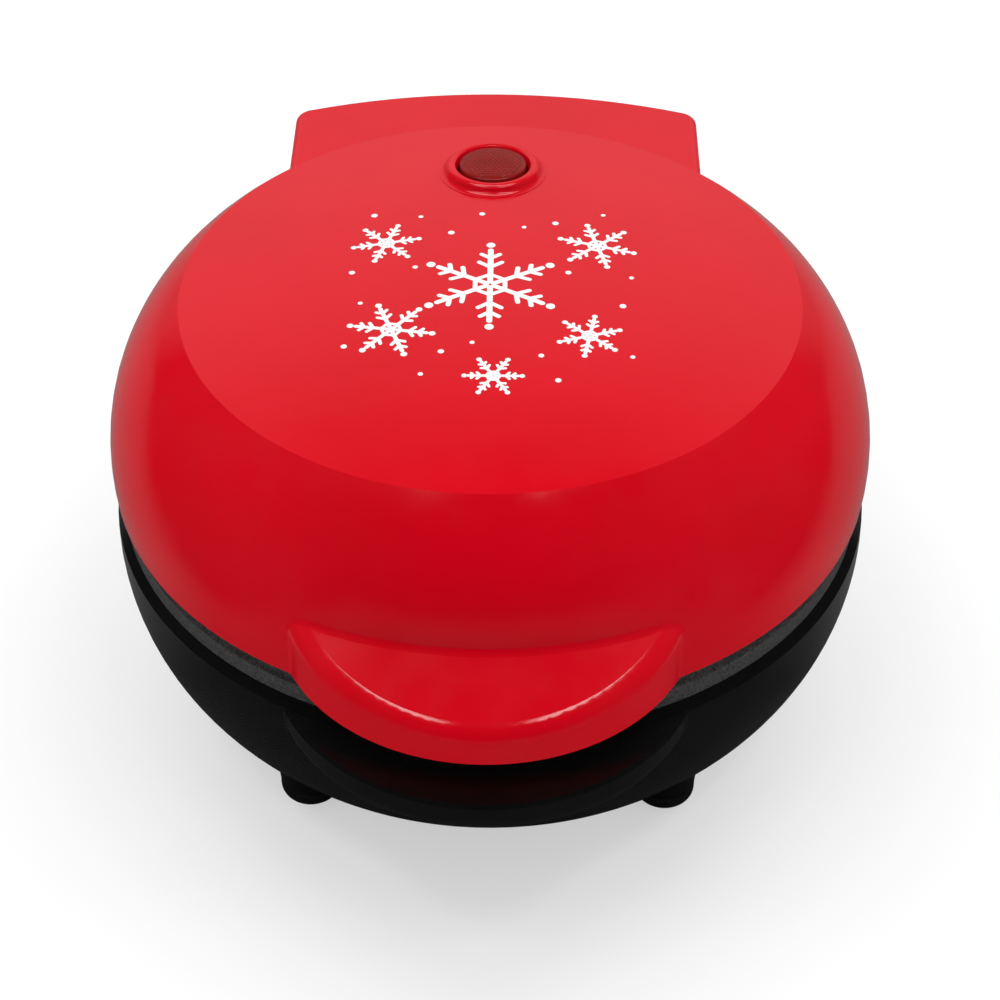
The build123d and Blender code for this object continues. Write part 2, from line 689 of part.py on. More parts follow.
# Trim rings: one snaps into each shell and carries that side's waffle plate
def trim_ring(side, seat_depth, wall_radius):
    skirt_radius = wall_radius - skirt_gap
    seat_radius = plate_radius + ring_clearance
    ledge_depth = plate_face_gap + flange_thickness
    with BuildPart() as ring:
        with BuildSketch(stack_profile(side)):
            with BuildLine():
                outer_top = ring_outer_radius - ring_edge_round
                Line((seat_radius, running_gap), (outer_top, running_gap))
                RadiusArc((outer_top, running_gap), (ring_outer_radius, running_gap + ring_edge_round),
                          ring_edge_round)
                Line((ring_outer_radius, running_gap + ring_edge_round), (ring_outer_radius, seat_depth))
                Line((ring_outer_radius, seat_depth), (skirt_radius, seat_depth))
                Line((skirt_radius, seat_depth), (skirt_radius, skirt_depth))
                Line((skirt_radius, skirt_depth), (skirt_radius - skirt_thickness, skirt_depth))
                ledge_bottom = ledge_depth + ring_ledge_thickness
                Line((skirt_radius - skirt_thickness, skirt_depth),
                     (skirt_radius - skirt_thickness, ledge_bottom))
                Line((skirt_radius - skirt_thickness, ledge_bottom),
                     (seat_radius - ring_ledge, ledge_bottom))
                Line((seat_radius - ring_ledge, ledge_bottom), (seat_radius - ring_ledge, ledge_depth))
                Line((seat_radius - ring_ledge, ledge_depth), (seat_radius, ledge_depth))
                Line((seat_radius, ledge_depth), (seat_radius, running_gap))
            make_face()
        revolve(axis=body_axis)

        # Bead behind the shell's bead
        with BuildSketch(stack_level(side, bead_depth + bead_height + contact_gap)):
            Circle(wall_radius - bead / 2)
            Circle(skirt_radius - skirt_thickness / 2, mode=Mode.SUBTRACT)
        extrude(amount=skirt_depth - bead_depth - bead_height - contact_gap)

        # Four legs with screw tabs reach in behind the plate
        with BuildSketch(stack_level(side, ledge_depth + ring_ledge_thickness / 2)):
            with PolarLocations(skirt_radius - skirt_thickness - tab_leg / 2, 4, 45):
                Rectangle(tab_leg, tab_leg_width)
        extrude(amount=shield_rim_depth - ledge_depth - ring_ledge_thickness / 2)
        with BuildSketch(stack_level(side, screw_tab_depth)):
            inner = screw_circle - screw_tab_reach
            outer = skirt_radius - skirt_thickness
            with PolarLocations((inner + outer) / 2, 4, 45):
                Rectangle(outer - inner, tab_leg_width)
        extrude(amount=screw_tab_thickness)
        with BuildSketch(stack_level(side, screw_tab_depth)):
            with PolarLocations(screw_circle, 4, 45):
                Circle(plate_screw_radius + screw_clearance)
        extrude(amount=screw_tab_thickness, mode=Mode.SUBTRACT)
    return ring


# Waffle plates: a round dish with a grid of studs, cast with its bosses and posts
def waffle_plate(side):
    well = plate_face_gap + well_depth
    with BuildPart() as plate:
        with BuildSketch(stack_profile(side)):
            with BuildLine():
                Polyline(
                    (0, well),
                    (cook_radius - well_draft, well),
                    (cook_radius, plate_face_gap),
                    (plate_radius, plate_face_gap),
                    (plate_radius, plate_face_gap + flange_thickness),
                    (plate_radius - plate_side_step, plate_face_gap + flange_thickness),
                    (plate_radius - 2 * plate_side_step, plate_back),
                    (0, plate_back),
                    close=True,
                )
            make_face()
        revolve(axis=body_axis)
        with BuildSketch(-stack_level(side, well)) as grid:
            with GridLocations(stud_pitch, stud_pitch, stud_rows, stud_rows):
                Rectangle(stud_size, stud_size)
            Circle(stud_limit, mode=Mode.INTERSECT)
        studs = [face for face in grid.sketch.faces() if face.area > 0.3 * stud_size**2]
        extrude(studs, amount=stud_height, taper=stud_taper)
        with BuildSketch(stack_level(side, plate_back - plate_floor / 2)):
            with PolarLocations(screw_circle, 4, 45):
                Circle(plate_boss_radius)
        extrude(amount=plate_boss_height + plate_floor / 2)
        with BuildSketch(stack_level(side, plate_back - plate_floor / 2)):
            with PolarLocations(clamp_post_circle, 3, 90 * side):
                Circle(clamp_post_radius)
        extrude(amount=clamp_depth - plate_back + plate_floor / 2)
        with BuildSketch(stack_level(side, screw_tab_depth)):
            with PolarLocations(screw_circle, 4, 45):
                Circle(plate_screw_radius + thread_clearance)
        extrude(amount=-(plate_screw_grip + thread_clearance), mode=Mode.SUBTRACT)
        with BuildSketch(stack_level(side, clamp_depth)):
            with PolarLocations(clamp_post_circle, 3, 90 * side):
                Circle(clamp_screw_radius + thread_clearance)
        extrude(amount=-(clamp_depth - plate_back), mode=Mode.SUBTRACT)
    return plate


# Tubular heater: an open loop whose ends turn away from the plate
def heating_element(side):
    gap = radians(element_gap_angle)
    gap_x = element_circle * sin(gap)
    gap_y = element_circle * cos(gap)
    with BuildPart() as element:
        with BuildLine() as route:
            for hand in (-1, 1):
                start = stack_point(side, hand * gap_x, gap_y, element_depth)
                along = Vector(-hand * cos(gap), sin(gap), 0)
                away = Vector(0, 0, side)
                bend_end = start + (along + away) * element_bend
                if hand < 0:
                    Line(bend_end + away * element_tail, bend_end)
                    TangentArc(bend_end, start, tangent=-away)
                    front = stack_point(side, 0, -element_circle, element_depth)
                    other = stack_point(side, gap_x, gap_y, element_depth)
                    ThreePointArc(start, front, other)
                else:
                    TangentArc(start, bend_end, tangent=along)
                    Line(bend_end, bend_end + away * element_tail)
        tail = route.wire() @ 0
        with BuildSketch(Plane(origin=tail, x_dir=(1, 0, 0), z_dir=(0, 0, -side))):
            Circle(element_radius)
        sweep(path=route.wire())
        for end in (route.wire() @ 0, route.wire() @ 1):
            with BuildSketch(Plane(origin=end, x_dir=(1, 0, 0), z_dir=(0, 0, side))):
                Circle(element_pin_radius)
            extrude(amount=element_pin)
    return element


def stack_point(side, x, y, depth):
    """A point given from the body's axis and the parting plane."""
    return Vector(x, axis_y + y, parting_height + side * depth)


# Pressed sheet that holds the element against the plate
def element_clamp(side):
    with BuildPart() as clamp:
        with BuildSketch(stack_level(side, clamp_depth)):
            Circle(clamp_radius)
            Circle(clamp_hole, mode=Mode.SUBTRACT)
            with Locations((0, side * element_circle)):
                notch_depth = 2 * (clamp_radius - element_circle) + element_bend
                RectangleRounded(2 * clamp_notch, notch_depth, 2, mode=Mode.SUBTRACT)
            with PolarLocations(clamp_post_circle, 3, 90 * side):
                Circle(clamp_screw_radius + screw_clearance, mode=Mode.SUBTRACT)
        extrude(amount=clamp_thickness)
    return clamp


# Dished reflector behind the element, held by the plate's screws
def heat_shield(side):
    with BuildPart() as shield:
        with BuildSketch(stack_profile(side)):
            with BuildLine():
                Polyline(
                    (0, shield_floor_depth),
                    (shield_floor_radius, shield_floor_depth),
                    (shield_dish_radius, shield_rim_depth),
                    (shield_radius, shield_rim_depth),
                    (shield_radius, shield_rim_depth + shield_thickness),
                    (shield_dish_radius + shield_thickness, shield_rim_depth + shield_thickness),
                    (shield_floor_radius + shield_thickness, shield_floor_depth + shield_thickness),
                    (0, shield_floor_depth + shield_thickness),
                    close=True,
                )
            make_face()
        revolve(axis=body_axis)
        with BuildSketch(stack_level(side, shield_rim_depth)):
            Circle(shield_hole)
            with Locations((0, side * element_circle)):
                RectangleRounded(2 * clamp_notch - 4, 2 * element_radius + 6, 2)
            with PolarLocations(screw_circle, 4, 45):
                Circle(plate_screw_radius + screw_clearance)
        extrude(amount=shield_depth + 2 * shield_thickness, mode=Mode.SUBTRACT)
    return shield


# Pan-head screws with a cross recess: the shank runs back from the head's seat
def screws(plane, places, shank_radius, head_radius, head_height, shank_length):
    with BuildPart() as group:
        with BuildSketch(plane):
            with Locations(*places):
                Circle(head_radius)
        extrude(amount=head_height)
        head_edges = group.edges().filter_by(GeomType.CIRCLE)
        fillet(head_edges.group_by(Axis(plane.origin, plane.z_dir))[-1], radius=0.3 * head_height)
        with BuildSketch(plane):
            with Locations(*places):
                Circle(shank_radius)
        extrude(amount=-shank_length)
        with BuildSketch(plane.offset(head_height)):
            with Locations(*places):
                Rectangle(1.2 * head_radius, recess_width)
                Rectangle(recess_width, 1.2 * head_radius)
        extrude(amount=-recess_depth, mode=Mode.SUBTRACT)
    return group


def ring_places(circle, count, start):
    """Evenly spaced points on a circle about the body's axis."""
    angles = [radians(start + 360 * index / count) for index in range(count)]
    return [(circle * cos(angle), circle * sin(angle)) for angle in angles]


for side, name, seat, wall_radius in (
    (1, "upper", ring_seat_upper + running_gap, lid_inner_radius),
    (-1, "lower", ring_seat_lower, base_inner_radius),
):
    finish(trim_ring(side, seat, wall_radius), f"{name}_trim_ring")
    finish(waffle_plate(side), f"{name}_waffle_plate")
    finish(heating_element(side), f"{name}_heating_element")
    finish(element_clamp(side), f"{name}_element_clamp")
    finish(heat_shield(side), f"{name}_heat_shield")
    plate_screws = screws(
        stack_level(side, shield_rim_depth + shield_thickness),
        ring_places(screw_circle, 4, 45),
        plate_screw_radius,
        plate_screw_head_radius,
        plate_screw_head,
        plate_screw_grip + screw_tab_thickness + shield_thickness,
    )
    finish(plate_screws, f"{name}_plate_screws")
    clamp_screws = screws(
        stack_level(side, clamp_depth + clamp_thickness),
        ring_places(clamp_post_circle, 3, 90 * side),
        clamp_screw_radius,
        clamp_screw_head_radius,
        clamp_screw_head,
        clamp_thickness + clamp_depth - plate_back - thread_clearance,
    )
    finish(clamp_screws, f"{name}_clamp_screws")

# Bimetal thermostat under the lower plate
with BuildPart() as thermostat:
    with BuildSketch(stack_level(-1, plate_back + contact_gap)):
        Circle(thermostat_cap_radius)
    extrude(amount=thermostat_cap_height)
    with BuildSketch(stack_level(-1, plate_back + contact_gap + thermostat_cap_height)):
        Circle(thermostat_body_radius)
    extrude(amount=thermostat_body_height)
    with BuildSketch(stack_level(-1, plate_back + thermostat_cap_height + thermostat_body_height)):
        with GridLocations(1.2 * thermostat_body_radius, 0, 2, 1):
            Rectangle(thermostat_tab_thickness, thermostat_tab_width)
    extrude(amount=thermostat_tab)
finish(thermostat, "thermostat")

# Thermal fuse lying against the lower heat shield
fuse_height = shield_floor_depth + shield_thickness + fuse_radius + contact_gap
fuse_middle = stack_point(-1, fuse_offset, 0, fuse_height)
with BuildPart() as thermal_fuse:
    with BuildSketch(Plane(origin=fuse_middle, x_dir=(1, 0, 0), z_dir=(0, 1, 0))):
        Circle(fuse_radius)
    extrude(amount=fuse_length / 2, both=True)
    fillet(thermal_fuse.edges().filter_by(GeomType.CIRCLE), radius=0.3 * fuse_radius)
    with BuildSketch(Plane(origin=fuse_middle, x_dir=(1, 0, 0), z_dir=(0, 1, 0))):
        Circle(fuse_lead_radius)
    extrude(amount=fuse_length / 2 + fuse_lead, both=True)
finish(thermal_fuse, "thermal_fuse")

# Ceramic terminal block on the bowl's floor
with BuildPart() as terminal_block:
    block_bottom = tail_bottom + base_wall
    with BuildSketch(level(block_bottom)):
        with Locations((0, block_place)):
            Rectangle(block_width, block_depth)
    extrude(amount=block_height)
    fillet(terminal_block.edges().filter_by(Axis.Z), radius=1)
    with BuildSketch(Plane(origin=(0, axis_y + block_place, block_bottom + block_height / 2),
                           x_dir=(1, 0, 0), z_dir=(0, 1, 0))):
        with GridLocations(2 * pin_x, 0, 2, 1):
            Circle(block_hole_radius)
    extrude(amount=block_depth, both=True, mode=Mode.SUBTRACT)
finish(terminal_block, "terminal_block")

# Grommet lining the cord inlet
with BuildPart() as cord_grommet:
    inlet_plane = Plane(origin=(0, axis_y + tail_reach, inlet_height), x_dir=(1, 0, 0), z_dir=(0, 1, 0))
    with BuildSketch(inlet_plane):
        Circle(grommet_flange_radius)
    extrude(amount=grommet_flange)
    fillet(cord_grommet.faces().sort_by(Axis.Y)[-1].edges(), radius=0.4 * grommet_flange)
    with BuildSketch(inlet_plane):
        Circle(grommet_body_radius)
    extrude(amount=-base_wall - contact_gap)
    with BuildSketch(inlet_plane.offset(-base_wall - contact_gap)):
        Circle((grommet_body_radius + grommet_flange_radius) / 2)
    extrude(amount=-grommet_flange)
    with BuildSketch(inlet_plane.offset(grommet_flange)):
        Circle(inlet_radius)
    extrude(amount=-(2 * grommet_flange + base_wall + contact_gap), mode=Mode.SUBTRACT)
finish(cord_grommet, "cord_grommet")

# Clamp bar that grips the cord inside the tail
clamp_seat_height = tail_bottom + base_wall + clamp_boss_height
cord_clamp_places = [(-cord_clamp_spacing / 2, cord_clamp_place), (cord_clamp_spacing / 2, cord_clamp_place)]
with BuildPart() as cord_clamp:
    with BuildSketch(level(clamp_seat_height)):
        with Locations((0, cord_clamp_place)):
            SlotOverall(cord_clamp_width, cord_clamp_depth)
        with Locations(*cord_clamp_places):
            Circle(clamp_screw_radius + screw_clearance, mode=Mode.SUBTRACT)
    extrude(amount=cord_clamp_thickness)
finish(cord_clamp, "cord_clamp")
cord_clamp_screws = screws(
    level(clamp_seat_height + cord_clamp_thickness),
    cord_clamp_places,
    clamp_screw_radius,
    clamp_screw_head_radius,
    clamp_screw_head,
    cord_clamp_thickness + clamp_boss_height - thread_clearance,
)
finish(cord_clamp_screws, "cord_clamp_screws")

# Hinge pins
pin_length = pin_stub + ear_gap + lid_ear_thickness
pin_start = base_ear_inner + base_ear_thickness - pin_stub + pin_clearance
for side, name in ((-1, "left"), (1, "right")):
    with BuildPart() as hinge_pin:
        with BuildSketch(side_plane(side * pin_start)):
            with Locations((hinge_reach, hinge_height)):
                Circle(pin_radius)
        extrude(amount=side * pin_length)
        chamfer(hinge_pin.edges().filter_by(GeomType.CIRCLE), length=0.15 * pin_radius)
    finish(hinge_pin, f"hinge_pin_{name}")

# Feet: soft pads with a peg in the boss above
for name, x, y in (
    ("front_left", -front_foot_x, front_foot_y),
    ("front_right", front_foot_x, front_foot_y),
    ("rear_left", -rear_foot_x, rear_foot_y),
    ("rear_right", rear_foot_x, rear_foot_y),
):
    with BuildPart() as foot:
        with BuildSketch(level(0)):
            with Locations((x, y)):
                Circle(foot_radius)
        extrude(amount=foot_pad_height)
        fillet(foot.edges().group_by(Axis.Z)[0], radius=foot_round)
        with BuildSketch(level(foot_pad_height)):
            with Locations((x, y)):
                Circle(foot_peg_radius)
        extrude(amount=foot_peg_height)
    finish(foot, f"foot_{name}")

# Leads and sleeves: round tubes along straight runs with rounded corners
def tube(points, corner_radii, radius):
    with BuildPart() as run:
        with BuildLine() as route:
            FilletPolyline(*points, radius=corner_radii)
        path = route.wire()
        with BuildSketch(Plane(origin=path @ 0, z_dir=path % 0)):
            Circle(radius)
        sweep(path=path)
    return run


block_axis_height = tail_bottom + base_wall + block_height / 2
lower_pin_end = parting_height - pin_depth - contact_gap
with BuildPart() as lower_element_leads:
    for hand in (-1, 1):
        x = hand * pin_x
        lead = tube(
            [
                (x, axis_y + pin_y, lower_pin_end),
                (x, axis_y + pin_y, block_axis_height),
                (x, axis_y + block_place, block_axis_height),
            ],
            [1.5 * wire_radius],
            wire_radius,
        )
        add(lead.part)
finish(lower_element_leads, "lower_element_leads")

upper_pin_end = parting_height + pin_depth + contact_gap
with BuildPart() as upper_element_leads:
    for hand in (-1, 1):
        start_x = lid_sleeve_x + hand * (wire_radius + contact_gap)
        lead = tube(
            [
                (start_x, axis_y + lid_sleeve_start - contact_gap, lid_sleeve_height),
                (start_x, axis_y + lid_sleeve_start - 4, lid_sleeve_height),
                (start_x, axis_y + lid_sleeve_start - 7, lid_sleeve_height + 9),
                (hand * pin_x, axis_y + pin_y + 7, upper_pin_end + lead_rise),
                (hand * pin_x, axis_y + pin_y, upper_pin_end + lead_rise),
                (hand * pin_x, axis_y + pin_y, upper_pin_end),
            ],
            [1.8, 3, 2, 1.5 * wire_radius],
            wire_radius,
        )
        add(lead.part)
finish(upper_element_leads, "upper_element_leads")

base_lead_sleeve = tube(
    [
        (-sleeve_x, axis_y + block_place, tail_bottom + base_wall + block_height + contact_gap),
        (-sleeve_x, axis_y + block_place, tail_bottom + base_wall + block_height + sleeve_lift),
        (-sleeve_x, axis_y + neck_reach, tail_top - base_wall - sleeve_radius),
        (-sleeve_x, axis_y + neck_reach, rim_height - neck_drop),
        (-sleeve_x, axis_y + hinge_reach, hinge_height),
        (-sleeve_gap / 2, axis_y + hinge_reach, hinge_height),
    ],
    [2.4, 2.4, 2.4, 2.4],
    sleeve_radius,
)
finish(base_lead_sleeve, "base_lead_sleeve")
lid_lead_sleeve = tube(
    [
        (lid_sleeve_x, axis_y + lid_sleeve_start, lid_sleeve_height),
        (lid_sleeve_x, axis_y + hinge_reach - 8, lid_sleeve_height),
        (lid_sleeve_x, axis_y + hinge_reach, hinge_height),
        (sleeve_gap / 2, axis_y + hinge_reach, hinge_height),
    ],
    [2.4, 2.4],
    sleeve_radius,
)
finish(lid_lead_sleeve, "lid_lead_sleeve")
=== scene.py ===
"""Looks of the mini waffle maker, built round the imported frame. Metres, +Z up, front at -Y."""
import bmesh
import bpy
from math import cos, pi, radians, sin, sqrt
from mathutils import Matrix, Vector
from mathutils.bvhtree import BVHTree


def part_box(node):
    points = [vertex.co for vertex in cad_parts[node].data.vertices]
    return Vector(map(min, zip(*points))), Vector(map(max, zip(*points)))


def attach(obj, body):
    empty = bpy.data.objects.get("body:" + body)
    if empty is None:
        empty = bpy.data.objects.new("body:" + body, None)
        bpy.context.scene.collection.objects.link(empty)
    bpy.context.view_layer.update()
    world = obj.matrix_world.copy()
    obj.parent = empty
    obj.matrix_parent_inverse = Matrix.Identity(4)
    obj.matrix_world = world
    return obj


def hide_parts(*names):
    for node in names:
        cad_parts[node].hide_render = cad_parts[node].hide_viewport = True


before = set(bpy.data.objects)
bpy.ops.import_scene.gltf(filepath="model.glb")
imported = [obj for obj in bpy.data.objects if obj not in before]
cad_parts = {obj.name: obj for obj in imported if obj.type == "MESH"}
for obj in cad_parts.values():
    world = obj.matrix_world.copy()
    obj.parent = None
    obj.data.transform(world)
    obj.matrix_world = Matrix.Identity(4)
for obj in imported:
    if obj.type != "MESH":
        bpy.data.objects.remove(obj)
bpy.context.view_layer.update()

MM = 0.001

# The body's vertical axis, read from the frame
ring_low, ring_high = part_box("upper_trim_ring")
body_y = (ring_low[1] + ring_high[1]) / 2

# The lid's top: a flank up to the crease and a dome inside it, part of a sphere
RIM_HEIGHT = 50.0 * MM                             # lower edge of the lid above the table
FLANK_HEIGHT = 31.6 * MM                           # crease above the lid's lower edge
CREASE_RADIUS = 50.3 * MM
DOME_RISE = 2.7 * MM
DOME_RADIUS = (CREASE_RADIUS**2 + DOME_RISE**2) / (2 * DOME_RISE)

# Indicator lens, with its heights taken from the dome's surface
LENS_REACH = 33.5 * MM                             # lens behind the body's axis
LENS_RADIUS = 5.7 * MM
LENS_EDGE = 1.5 * MM                               # top of the side wall
LENS_EDGE_ROUND = [                                # rounded edge and wall: inset and drop from the corner
    (0.2 * MM, 0.02 * MM), (0.06 * MM, 0.09 * MM), (0, 0.25 * MM), (0, 1.2 * MM),
]
LENS_CROWN = 0.5 * MM                              # rise of the crown from the edge to its middle
LENS_CROWN_INSET = 0.35 * MM                       # the crown ends this far inside the side wall
LENS_ROOF = 1.3 * MM                               # from the edge down to the top of the hollow inside
LENS_WALL = 0.9 * MM
LENS_FLANGE_RADIUS = 7.4 * MM
LENS_FLANGE = 1.2 * MM                             # thickness of the flange
LENS_SEAT = -2.3 * MM                              # top of the flange
LENS_STEPS = 66                                    # rings of points from the crown's middle to its edge
LENS_TURNS = 216                                   # points in each ring
LENS_SHARP = 50                                    # edges that turn more degrees than this stay crisp

# Prism cells pressed into the crown
CELL = 0.76 * MM                                   # from one cell's middle to the next
CELL_ROW = CELL * sqrt(3) / 2                      # from one row to the next
CELL_REACH = 0.56 * CELL                           # from a cell's middle to where it has fallen away
CELL_RELIEF = 0.16 * MM
CELL_MARGIN = 0.5 * MM                             # plain margin inside the side wall
CELL_FADE = 0.2 * MM                               # the cells fade out over this width before the margin

# Print on the lid
INK = 0.03 * MM                                    # the ink's lift off the dome
ABOVE = 120 * MM                                   # a height above the lid, from where points drop onto it
STROKE_RUN = 1.2 * MM                              # longest straight run of a stroke
CAP_POINTS = 7                                     # points round a stroke's end
DISC_POINTS = 20
# Crystals and dots, in mm: place from the body's axis, radius, a crystal's stroke and its turn in degrees
CRYSTALS = [
    (0, -1.5, 11.5, 0.95, 30), (-17.2, 10.5, 5.6, 0.62, 12), (17.4, 10.2, 6.4, 0.66, 44),
    (-15.4, -13.2, 6.8, 0.7, 50), (15.8, -14.4, 5.2, 0.6, 20), (0.8, -24.6, 4.6, 0.56, 0),
]
FLAKES = [
    (-6.6, 13.4, 0.55), (5.4, 15.2, 0.4), (10.6, 16.6, 0.55), (-12.2, 3.4, 0.45), (12.6, 2.2, 0.5),
    (-22.4, 2.2, 0.5), (22.8, 1.4, 0.4), (-20.6, -6.2, 0.4), (21.2, -6.4, 0.55), (-7.4, -18.8, 0.5),
    (8.2, -19.6, 0.45), (-10.4, -24.2, 0.4), (10.8, -25.4, 0.5), (-22.6, -17.2, 0.5), (22.4, -19.2, 0.4),
    (-1.6, 19.2, 0.5), (-11.8, 18.4, 0.4), (18.6, 19.6, 0.4), (-19.6, 19.0, 0.55), (-2.6, -16.6, 0.4),
]

# A crystal's parts as shares: lengths of its radius, widths of its stroke
ARMS = 6
ARM_START = 0.06
ARM_END = 0.84
TIP_REACH = 0.97
TIP_DOT = 0.78
TWIGS = [(0.42, 0.2), (0.64, 0.16)]                # root's reach along the arm, length
TWIG_LEAN = pi / 3.4                               # angle between twig and arm
TWIG_STROKE = 0.85
HEXAGON_REACH = 0.24
HEXAGON_STROKE = 0.8

# Camera, fitted to the photograph's silhouette
CAMERA_AZIMUTH = radians(0.8)
CAMERA_ELEVATION = radians(40.49)
CAMERA_DISTANCE = 432.63 * MM
CAMERA_DROP = 12.45 * MM                           # aim point below the lid's lower edge
CAMERA_LENS = 90.0
CAMERA_SENSOR = 36.0
CAMERA_SHIFT_X = 0.0098
CAMERA_NEAR = 0.01

# Studio
FLOOR_REACH = 3.0                                  # from the middle of the floor to its edge
FLOOR_BOUNCE = 0.9                                 # the floor's tone where light bounces off it
FLOOR_SHADED = 0.45                                # the part of its seen tone that takes shadows
FLOOR_GLOW = 0.52                                  # the part that doesn't
LIGHT_AIM = (0, 0, 0.05)
LIGHTS = [                                         # name, place, width and depth, watts
    ("softbox_left", (-0.36, -0.35, 1.05), (0.5, 0.12), 1.5),
    ("softbox_right", (0.36, -0.35, 1.05), (0.5, 0.12), 1.5),
    ("softbox_top", (0, 0.1, 1.0), (1.0, 0.1), 3.2),
]


# Node helpers

def new_material(name):
    """A node material with its shader; returns (material, nodes, links, shader)."""
    material = bpy.data.materials.new(name)
    material.use_nodes = True
    nodes, links = material.node_tree.nodes, material.node_tree.links
    return material, nodes, links, nodes["Principled BSDF"]


def object_noise(nodes, links, scale, detail, roughness=0.5):
    """Noise over the object's own coordinates, in metres."""
    coordinates = nodes.new("ShaderNodeTexCoord")
    noise = nodes.new("ShaderNodeTexNoise")
    noise.inputs["Scale"].default_value = scale
    noise.inputs["Detail"].default_value = detail
    noise.inputs["Roughness"].default_value = roughness
    links.new(coordinates.outputs["Object"], noise.inputs["Vector"])
    return noise


def ramp(nodes, links, source, stops):
    """Colour of a ramp from (position, colour) stops."""
    node = nodes.new("ShaderNodeValToRGB")
    node.color_ramp.elements[0].position = stops[0][0]
    node.color_ramp.elements[0].color = (*stops[0][1], 1)
    node.color_ramp.elements[1].position = stops[-1][0]
    node.color_ramp.elements[1].color = (*stops[-1][1], 1)
    for position, colour in stops[1:-1]:
        node.color_ramp.elements.new(position).color = (*colour, 1)
    links.new(source, node.inputs["Fac"])
    return node.outputs["Color"]


def bump(nodes, links, shader, source, strength, distance):
    node = nodes.new("ShaderNodeBump")
    node.inputs["Strength"].default_value = strength
    node.inputs["Distance"].default_value = distance
    links.new(source, node.inputs["Height"])
    links.new(node.outputs["Normal"], shader.inputs["Normal"])


def grey(value):
    return (value, value, value)


# Materials

def gloss_plastic(name, low, high, roughness, specular):
    """Glossy moulding: faint mottling, slightly uneven gloss, a soft ripple in the surface."""
    material, nodes, links, shader = new_material(name)
    mottle = object_noise(nodes, links, scale=38, detail=2).outputs["Fac"]
    links.new(ramp(nodes, links, mottle, [(0.3, low), (0.7, high)]), shader.inputs["Base Color"])
    smudge = object_noise(nodes, links, scale=120, detail=4).outputs["Fac"]
    gloss = ramp(nodes, links, smudge, [(0.35, grey(roughness)), (0.75, grey(roughness * 1.5))])
    links.new(gloss, shader.inputs["Roughness"])
    shader.inputs["Specular IOR Level"].default_value = specular
    wave = object_noise(nodes, links, scale=60, detail=1).outputs["Fac"]
    bump(nodes, links, shader, wave, strength=0.02, distance=0.4 * MM)
    return material


def textured_plastic(name, low, high, grain, depth, roughness):
    """Spark-textured moulding."""
    material, nodes, links, shader = new_material(name)
    speck = object_noise(nodes, links, scale=grain, detail=2, roughness=0.7).outputs["Fac"]
    links.new(ramp(nodes, links, speck, [(0.35, low), (0.7, high)]), shader.inputs["Base Color"])
    shader.inputs["Roughness"].default_value = roughness
    bump(nodes, links, shader, speck, strength=0.6, distance=depth)
    return material


def metal(name, low, high, roughness, scale, stretch=(1, 1, 1)):
    """Metal with streaks or blotches of tone."""
    material, nodes, links, shader = new_material(name)
    coordinates = nodes.new("ShaderNodeTexCoord")
    mapping = nodes.new("ShaderNodeMapping")
    mapping.inputs["Scale"].default_value = stretch
    noise = nodes.new("ShaderNodeTexNoise")
    noise.inputs["Scale"].default_value = scale
    noise.inputs["Detail"].default_value = 5
    links.new(coordinates.outputs["Object"], mapping.inputs["Vector"])
    links.new(mapping.outputs["Vector"], noise.inputs["Vector"])
    streak = noise.outputs["Fac"]
    links.new(ramp(nodes, links, streak, [(0.3, low), (0.7, high)]), shader.inputs["Base Color"])
    gloss = ramp(nodes, links, streak, [(0.3, grey(roughness)), (0.7, grey(roughness * 1.4))])
    links.new(gloss, shader.inputs["Roughness"])
    shader.inputs["Metallic"].default_value = 1.0
    bump(nodes, links, shader, streak, strength=0.1, distance=0.1 * MM)
    return material


def nonstick():
    """Dark sintered coating with fine sparkle over cast aluminium."""
    material, nodes, links, shader = new_material("nonstick")
    fleck = object_noise(nodes, links, scale=3200, detail=2, roughness=0.8).outputs["Fac"]
    stops = [(0.3, (0.018, 0.018, 0.019)), (0.62, (0.035, 0.035, 0.036)), (0.8, (0.11, 0.11, 0.11))]
    links.new(ramp(nodes, links, fleck, stops), shader.inputs["Base Color"])
    shader.inputs["Roughness"].default_value = 0.42
    shader.inputs["Specular IOR Level"].default_value = 0.6
    bump(nodes, links, shader, fleck, strength=0.25, distance=0.06 * MM)
    return material


def braid():
    """Braided glass-fibre sleeve."""
    material, nodes, links, shader = new_material("braided_sleeve")
    coordinates = nodes.new("ShaderNodeTexCoord")
    weave = nodes.new("ShaderNodeTexVoronoi")
    weave.inputs["Scale"].default_value = 1600
    links.new(coordinates.outputs["Object"], weave.inputs["Vector"])
    stops = [(0.0, (0.78, 0.75, 0.66)), (0.6, (0.55, 0.52, 0.45))]
    links.new(ramp(nodes, links, weave.outputs["Distance"], stops), shader.inputs["Base Color"])
    shader.inputs["Roughness"].default_value = 0.8
    bump(nodes, links, shader, weave.outputs["Distance"], strength=0.8, distance=0.15 * MM)
    return material


def clear(name, colour, roughness, transmission, specular):
    """Clear or tinted plastic or glass with a faint unevenness."""
    material, nodes, links, shader = new_material(name)
    haze = object_noise(nodes, links, scale=400, detail=2).outputs["Fac"]
    low = tuple(channel * 0.85 for channel in colour)
    links.new(ramp(nodes, links, haze, [(0.3, low), (0.7, colour)]), shader.inputs["Base Color"])
    shader.inputs["Roughness"].default_value = roughness
    shader.inputs["Transmission Weight"].default_value = transmission
    shader.inputs["Specular IOR Level"].default_value = specular
    return material


